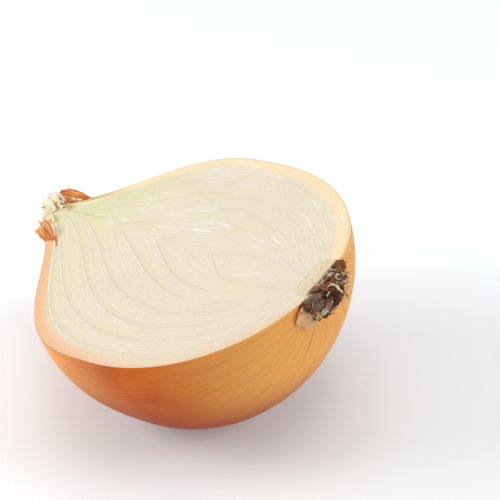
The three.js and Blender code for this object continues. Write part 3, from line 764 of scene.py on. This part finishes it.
ROOTLETS = [
    ([(41.1, 5.5, -1.0), (42.4, 5.4, -0.8), (43.6, 5.7, -0.5), (44.9, 6.3, -0.2)],
     [1.1, 0.9, 0.7, 0.5], 1.0, 0.5),
    ([(42.0, 1.4, -0.8), (43.4, 2.2, -1.0), (44.6, 2.9, -1.0), (45.6, 3.7, -1.0)],
     [1.2, 1.1, 0.9, 0.5], 2.0, 0.35),
    ([(42.0, -0.9, -0.2), (43.2, 0.3, 0.1), (44.3, 0.3, -0.5), (46.2, -0.4, -1.2)],
     [0.5, 0.6, 0.6, 0.5], 3.0, 1.0),
    ([(43.4, 3.2, -0.8), (42.4, 2.7, -0.2), (41.9, 3.7, 0.0), (42.4, 4.4, -0.3)],
     [0.5, 0.6, 0.6, 0.4], 4.0, 0.9),
    ([(43.9, -2.0, -2.0), (43.8, -4.3, -2.9), (43.1, -6.2, -3.4), (42.9, -8.0, -3.6)],
     [0.5, 0.7, 0.6, 0.4], 5.0, 1.0),
    ([(44.3, -2.4, -2.2), (44.2, -4.6, -3.2), (43.4, -6.4, -3.8), (43.2, -7.8, -4.0)],
     [0.4, 0.5, 0.5, 0.4], 6.0, 0.8),
    ([(43.0, -1.0, -0.8), (42.9, -2.3, -1.3), (43.5, -2.9, -2.0)], [0.4, 0.5, 0.4], 7.0, 0.9),
    ([(40.6, 3.0, -4.0), (43.2, 3.4, -4.8), (44.6, 2.4, -5.6)], [0.9, 0.7, 0.4], 8.0, 0.5),
    ([(40.2, -2.0, -5.0), (42.4, -2.8, -6.0), (43.6, -2.2, -6.8)], [0.9, 0.7, 0.4], 9.0, 0.4),
    ([(40.2, 2.2, 0.0), (40.5, 3.2, 0.15), (40.8, 4.2, 0.0)], [0.5, 0.8, 0.5], 10.0, 1.0),
]
long_roots = body_from("long_rootlets", [lump_patches(*root) for root in ROOTLETS], {"shade": 0.5}, 70)
long_roots.data.materials.append(root_fibre)
for piece in (rootlets, long_roots):
    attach(piece, "root")
    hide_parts(*[f"rootlet_{number}" for number in range(1, 9)])

# ---- Torn and curled skin -------------------------------------------------------------------
# Where the neck was torn, strips of the dry skin and of the leaf sheaths curl off it: lamellae on
# the fuller side, a flap along the flatter side, and a flake that hangs under the crust.


def torn_strip(path, widths, facing, seed, thickness=0.14, cup=0.5, ragged=0.22, crinkle=0.3):
    """Patches of a thin strip along a path, as wide as widths says, with its face towards facing.
    cup curls it across, ragged tears its end and crinkle creases it."""
    rows, columns = 34, 17
    line = curve_through(path, rows)
    ahead = unit(np.gradient(line, axis=0))
    wide = unit(np.cross(ahead, np.array(facing, float)))
    out = np.cross(wide, ahead)
    across = np.linspace(-1, 1, columns)
    fray = np.array([noise.noise(Vector((3.1 * c, seed, 0))) + 0.6 * noise.noise(Vector((9.7 * c, seed, 5)))
                     for c in across])
    reach = np.clip(1 - ragged * (0.5 + fray), 0.4, 1)
    along = np.linspace(0, 1, rows)[:, None] * reach
    width = np.interp(along, np.linspace(0, 1, len(widths)), widths) / 2
    place = along * (rows - 1)
    low = np.clip(place.astype(int), 0, rows - 2)
    part = (place - low)[..., None]

    def blended(values):
        return values[low] * (1 - part) + values[low + 1] * part

    steps = np.linspace(0, 1, rows)
    crease = np.array([[noise.noise(Vector((a * 5 + seed, c * 2.2, seed))) for c in across] for a in steps])
    edge = np.array([noise.noise(Vector((a * 3.5, seed + 2, 0))) for a in steps])[:, None]
    middle = blended(line) + blended(wide) * (width * across * (1 + 0.25 * edge * np.abs(across)))[..., None]
    middle = middle + blended(out) * (cup * width * across ** 2 + crinkle * crease)[..., None]
    half = blended(out) * thickness / 2
    known = {"run": along, "across": np.broadcast_to(across, along.shape) * width,
             "shade": np.full(along.shape, (seed * 0.37) % 1)}
    front, rear = middle + half, middle - half
    return [(front, known), (rear, known), *edges_of(front, rear, known)]


STRIP_MARKS = {"run": 0, "across": 0, "shade": 0}
LAMELLAE = [
    ([(-41.8, -8.6, -1.0), (-41.5, -7.7, 0.2), (-42.4, -6.3, 1.0), (-44.0, -4.9, 1.6), (-46.1, -3.9, 2.0),
      (-47.9, -3.7, 2.3)], [0.5, 0.8, 0.8, 0.8, 0.6, 0.3], 1.3),
    ([(-42.3, -8.4, -1.0), (-42.7, -7.3, 0.2), (-44.0, -6.0, 1.0), (-46.0, -5.0, 1.6), (-47.8, -4.5, 2.0),
      (-49.1, -4.5, 2.3)], [0.4, 0.6, 0.6, 0.6, 0.5, 0.3], 4.1),
    ([(-42.5, -8.6, -1.0), (-43.0, -7.9, 0.2), (-44.3, -6.8, 1.0), (-45.8, -5.9, 1.4), (-46.9, -5.4, 1.8)],
     [0.4, 0.6, 0.6, 0.5, 0.3], 7.9),
]
NECK_SIDE = (0.5, -0.7, 0.5)    # which way the lamellae face
FLAP_UP = (0.1, -0.3, 0.9)      # which way the flap faces
curls = body_from("neck_lamellae", [
    patch for path, widths, seed in LAMELLAE
    for patch in torn_strip(path, widths, NECK_SIDE, seed, thickness=0.2, ragged=0.1, crinkle=0.12)
], STRIP_MARKS, 50)
fan = body_from("neck_fan", torn_strip(
    [(-42.6, -8.8, -0.8), (-43.7, -8.2, 0), (-45.3, -7.4, 0.7), (-46.9, -6.5, 1.3), (-48.4, -6.0, 1.8)],
    [0.7, 1.3, 2.2, 2.8, 2.8], NECK_SIDE, 2.2,
    thickness=0.2, cup=0.3, ragged=0.2, crinkle=0.3), STRIP_MARKS, 50)
flap = body_from("neck_torn_flap", [
    *torn_strip([(-43.4, 10.2, -0.2), (-45.9, 9.5, 0.7), (-48.2, 9.3, 1.2), (-50.5, 9.0, 1.5),
                 (-52.9, 8.2, 1.6)],
                [0.7, 1.6, 2.1, 1.8, 0.7], FLAP_UP, 5.6, thickness=0.25, cup=0.35, ragged=0.05, crinkle=0.5),
    *torn_strip([(-46.6, 7.6, 0.2), (-48.7, 7.3, 0.5), (-50.0, 7.6, 0.9), (-51.5, 7.4, 0.9),
                 (-52.1, 6.6, 0.6)],
                [0.5, 0.8, 1.1, 1.2, 0.7], FLAP_UP, 9.3, ragged=0.1, crinkle=0.3),
    *torn_strip([(-47.6, 7.1, 0.2), (-49.4, 6.7, 0.4), (-51.1, 6.6, 0.5), (-52.2, 6.4, 0.5)],
                [0.3, 0.7, 0.8, 0.5], FLAP_UP, 6.1, ragged=0.1, crinkle=0.3),
    *torn_strip([(-42.4, -5.9, 0.12), (-40.4, -7.8, 0.16), (-38.9, -9.6, 0.12)], [0.2, 0.7, 0.2],
                (0, 0, 1), 0.9, thickness=0.1, cup=0, ragged=0, crinkle=0),
], STRIP_MARKS, 50)
flake = body_from("root_torn_flake", torn_strip(
    [(40.2, -6.4, -1.6), (40.4, -7.3, -2.6), (40.2, -8.2, -3.8), (39.4, -9.2, -5.4), (38.2, -10.5, -7.2)],
    [3.6, 5.2, 5.8, 4.6, 2.2], (1, -0.6, -0.2), 3.7, thickness=0.2, cup=0.15, ragged=0.25, crinkle=0.35,
), STRIP_MARKS, 50)

# Torn dry skin: the same paper as the skin, darker at its torn tips and paler where it is thin.
torn_paper, tree, run, across, shade = new_material("Torn dry skin", "run", "across", "shade")
grain = add(tree, "ShaderNodeCombineXYZ", {"X": across, "Y": run, "Z": shade})
grain_at = add(tree, "ShaderNodeVectorMath", {0: grain, 1: (2.6, 1.4, 40)}, operation="MULTIPLY")
strands = add(tree, "ShaderNodeTexNoise", {"Vector": grain_at, "Scale": 1.0, "Detail": 4.0})
split = add(tree, "ShaderNodeMapRange", {0: strands, 1: 0.38, 2: 0.64}, interpolation_type="SMOOTHSTEP")
pale, tip = [add(tree, "ShaderNodeMapRange", dict(enumerate(span)))
             for span in ((strands, 0.56, 0.72), (run, 0.86, 0.99, 0.0, 0.8))]
tip = add(tree, "ShaderNodeMath", {0: tip, 1: split}, operation="MULTIPLY")
tone = linear("#C86A1E")
for share, colour in ((split, "#F2A654"), (pale, "#FFDCA4"), (tip, "#6E340C")):
    tone = add(tree, "ShaderNodeMix", {0: share, 6: tone, 7: linear(colour)}, data_type="RGBA")
bump = add(tree, "ShaderNodeBump", {"Strength": 0.5, "Distance": 0.0002, "Height": strands})
shader = add(tree, "ShaderNodeBsdfPrincipled", {
    "Base Color": tone, "Roughness": 0.55, "IOR": 1.48, "Normal": bump, "Subsurface Weight": 0.2,
    "Subsurface Radius": (1.0, 0.5, 0.2), "Subsurface Scale": 0.0008})
add(tree, "ShaderNodeOutputMaterial", {"Surface": shader})

# Torn pale skin: a single thin layer of it, tan and pinkish, with hardly any fibre left.
pale_paper, tree, run = new_material("Torn pale skin", "run")
where = add(tree, "ShaderNodeTexCoord").outputs["Object"]
blotch = add(tree, "ShaderNodeTexNoise", {"Vector": where, "Scale": 300.0, "Detail": 3.0})
browned = add(tree, "ShaderNodeMapRange", {0: blotch, 1: 0.52, 2: 0.7, 3: 0.0, 4: 0.6})
tone = linear("#D89E66")
for share, colour in ((run, "#F0B888"), (browned, "#C87840")):
    tone = add(tree, "ShaderNodeMix", {0: share, 6: tone, 7: linear(colour)}, data_type="RGBA")
shader = add(tree, "ShaderNodeBsdfPrincipled", {
    "Base Color": tone, "Roughness": 0.5, "IOR": 1.48, "Subsurface Weight": 0.3,
    "Subsurface Radius": (1.0, 0.6, 0.3), "Subsurface Scale": 0.0008})
add(tree, "ShaderNodeOutputMaterial", {"Surface": shader})
for piece, node, paper in ((curls, "neck_curl_1", torn_paper), (fan, "neck_curl_2", torn_paper),
                           (flap, "neck_flap", torn_paper), (flake, "root_flake", pale_paper)):
    piece.data.materials.append(paper)
    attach(piece, "root")
    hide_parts(node)

# ---- Frayed neck ----------------------------------------------------------------------------
# The pale dried ends of the leaf sheaths, packed together and frayed to fluff where they were
# pulled off. They are cream, with a few golden shreds.

STUB_START = -48.6
STUB_END = -54.6
STUB_RADIUS = 3.5
STUB_ASIDE = 3.3                # how far its middle stands off the axis at its start

stub_turns = np.linspace(math.pi, 2 * math.pi, 41)
stub_share = np.linspace(0, 1, 24)[:, None]
stub_x = STUB_START + (STUB_END - STUB_START) * stub_share
stub_r = STUB_RADIUS * (1 - stub_share ** 3) ** 0.6 * (0.8 + 0.2 * np.sin(2.2 * stub_share + 0.6))
stub_y = STUB_ASIDE + 1.8 * stub_share
stub_outer = grid_of(stub_x, stub_y + stub_r * np.cos(stub_turns), 0.8 * stub_r * np.sin(stub_turns))
pleats = lumpy(stub_outer * np.array([0.35, 1.6, 1.6]), 2.0, 0.7, 8.0)
pleats = pleats * np.minimum(1, np.arange(24) / 3)[:, None]
stub_outer[..., 1] += pleats * np.cos(stub_turns)
stub_outer[..., 2] += pleats * np.sin(stub_turns)
stub_outer[:, (0, -1), 2] = 0
spread = np.linspace(0, 1, 30)
stub_face = between(stub_outer[:, 0], stub_outer[:, -1], spread)
stub_lift = 0.5 + lumpy(stub_face * np.array([0.4, 1.6, 1]), 1.6, 1.4, 6.0)
stub_face[..., 2] = stub_lift * np.sin(math.pi * spread)
inwards = spread[:, None, None]
stub_back = stub_outer[:1] * (1 - inwards) + np.array([STUB_START, STUB_ASIDE, 0]) * inwards
stub = body_from("neck_sheaths", [
    (stub_outer, {"run": stub_share}), (stub_face, {"run": stub_share}), (stub_back, {}),
], STRIP_MARKS, 60)
SHEETS = [
    ([(-47.2, -2.1, 0.0), (-47.8, -1.4, 0.6), (-49.3, -0.8, 1.2), (-51.3, -0.4, 1.8)],
     [1.0, 2.0, 2.0, 0.8], 2.7),
    ([(-49.6, 6.2, 0.2), (-51.6, 6.8, 0.8), (-53.6, 7.2, 1.0), (-55.4, 7.6, 0.9)], [1.2, 1.9, 2.4, 1.2], 2.9),
    ([(-49.8, 2.4, 0.2), (-51.8, 3.0, 0.9), (-54.0, 3.8, 1.1), (-56.2, 4.4, 0.9)], [1.6, 2.2, 2.2, 1.0], 6.3),
    ([(-50.4, 4.6, 0.4), (-52.4, 5.4, 1.2), (-54.6, 6.2, 1.3), (-56.4, 6.8, 0.9)], [1.4, 2.4, 2.2, 1.0], 8.7),
    ([(-49.6, 0.6, -0.2), (-51.6, 1.4, 0.4), (-53.6, 2.4, 0.6), (-55.6, 3.2, 0.6)],
     [1.4, 2.0, 1.6, 0.8], 4.9),
    ([(-50.8, 0.0, -1.6), (-52.6, 0.8, -1.8), (-54.4, 1.8, -1.8)], [1.8, 2.0, 1.0], 5.3),
    ([(-46.8, 8.6, 0.2), (-48.3, 8.3, 0.6), (-50.8, 8.0, 0.8), (-53.2, 7.8, 0.9)],
     [0.8, 1.3, 1.3, 1.0], 10.4),
]
sheets = body_from("neck_sheath_sheets", [
    patch for path, widths, seed in SHEETS
    for patch in torn_strip(path, widths, FLAP_UP, seed, thickness=0.2, ragged=0.3, crinkle=0.4)
], STRIP_MARKS, 50)

# Dried leaf sheath: thin and fibrous, cream and a little see-through, golden where it is thicker.
sheath, tree, shade = new_material("Dried leaf sheath", "shade")
where = add(tree, "ShaderNodeTexCoord").outputs["Object"]
clumps = add(tree, "ShaderNodeTexNoise", {"Vector": where, "Scale": 420.0, "Detail": 4.0})
gold = add(tree, "ShaderNodeMapRange", {0: clumps, 1: 0.53, 2: 0.64, 3: 0.0, 4: 0.85})
tone = linear("#FBF3DC")
for share, colour in ((shade, "#F4E6BE"), (gold, "#D9A050")):
    tone = add(tree, "ShaderNodeMix", {0: share, 6: tone, 7: linear(colour)}, data_type="RGBA")
bump = add(tree, "ShaderNodeBump", {"Strength": 0.5, "Distance": 0.0003, "Height": clumps})
shader = add(tree, "ShaderNodeBsdfPrincipled", {
    "Base Color": tone, "Roughness": 0.7, "IOR": 1.45, "Normal": bump, "Subsurface Weight": 0.4,
    "Subsurface Radius": (1.0, 0.8, 0.5), "Subsurface Scale": 0.001})
add(tree, "ShaderNodeOutputMaterial", {"Surface": shader})
fluff = grown_on("neck_fluff", stub_outer[9:], threads, {
    "Density": 0.7e6, "Length": 0.0052, "Thickness": 0.00014, "Curl": 0.005,
    "Curl scale": 420.0, "Spread": 0.6,
    "Lean": tuple(lean @ np.array([-2.2, 0.3, 0.3])), "Seed": 5, "Material": sheath})
for piece in (stub, sheets, fluff):
    if not piece.data.materials:
        piece.data.materials.append(sheath)
    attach(piece, "root")
    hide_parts("neck_stub")

# ---- Floor, light and camera ----------------------------------------------------------------
# A pale seamless floor in a softly lit studio. The camera stands high on the near side of the
# root end, and looks down on the cut face with a long lens.

FLOOR_REACH = 4.0               # m from the middle to each side

corners = [(x * FLOOR_REACH, y * FLOOR_REACH, 0) for x, y in ((-1, -1), (1, -1), (1, 1), (-1, 1))]
floor_mesh = bpy.data.meshes.new("studio_floor")
floor_mesh.from_pydata(corners, [], [(0, 1, 2, 3)])
floor = in_scene("studio_floor", floor_mesh)
# Studio paper: matt and nearly white. It glows a little, so that no shadow is heavy.
paper, tree = new_material("Pale studio paper")
shader = add(tree, "ShaderNodeBsdfPrincipled", {
    "Base Color": linear("#F4FAFC"), "Roughness": 0.9, "Emission Color": linear("#FFFFFF"),
    "Emission Strength": 0.1})
add(tree, "ShaderNodeOutputMaterial", {"Surface": shader})
floor_mesh.materials.append(paper)

VIEW_AZIMUTH = math.radians(39.7)
VIEW_ELEVATION = math.radians(36.2)
VIEW_DISTANCE = 0.41            # m
VIEW_TURN = math.radians(2.02)  # the camera looks this far to the right of the bulb's middle
VIEW_LENS = 118.8

level = math.cos(VIEW_ELEVATION)
back = Vector((math.sin(VIEW_AZIMUTH) * level, -math.cos(VIEW_AZIMUTH) * level, math.sin(VIEW_ELEVATION)))
rightwards = Vector((math.cos(VIEW_AZIMUTH), math.sin(VIEW_AZIMUTH), 0))
camera = in_scene("camera", bpy.data.cameras.new("camera"))
camera.data.lens = VIEW_LENS
camera.data.sensor_width = 36
camera.data.clip_start = 0.01
camera.location = Vector(origin / 1000) + back * VIEW_DISTANCE
looking = -back * math.cos(VIEW_TURN) + rightwards * math.sin(VIEW_TURN)
camera.rotation_mode = "QUATERNION"
camera.rotation_quaternion = looking.to_track_quat("-Z", "Y")
bpy.context.scene.camera = camera

# Square soft boxes that look at the onion: where each stands and its size in m, and its watts.
for name, spot, size, power in (("top_softbox", (0.0, 0.05, 0.9), 0.6, 1.8),
                                ("left_softbox", (-0.6, -0.5, 0.45), 0.5, 4.6),
                                ("right_softbox", (0.65, 0.45, 0.45), 0.5, 2.6)):
    lamp = in_scene(name, bpy.data.lights.new(name, "AREA"))
    lamp.data.size = size
    lamp.data.energy = power
    lamp.location = spot
    lamp.rotation_mode = "QUATERNION"
    lamp.rotation_quaternion = (Vector((0, 0, 0.03)) - Vector(spot)).to_track_quat("-Z", "Y")
world = bpy.data.worlds.new("studio")
world.use_nodes = True
surround = world.node_tree.nodes["Background"].inputs
surround["Color"].default_value = linear("#FFFFFF")
surround["Strength"].default_value = 0.42
bpy.context.scene.world = world
bpy.context.scene.view_settings.view_transform = "Standard"
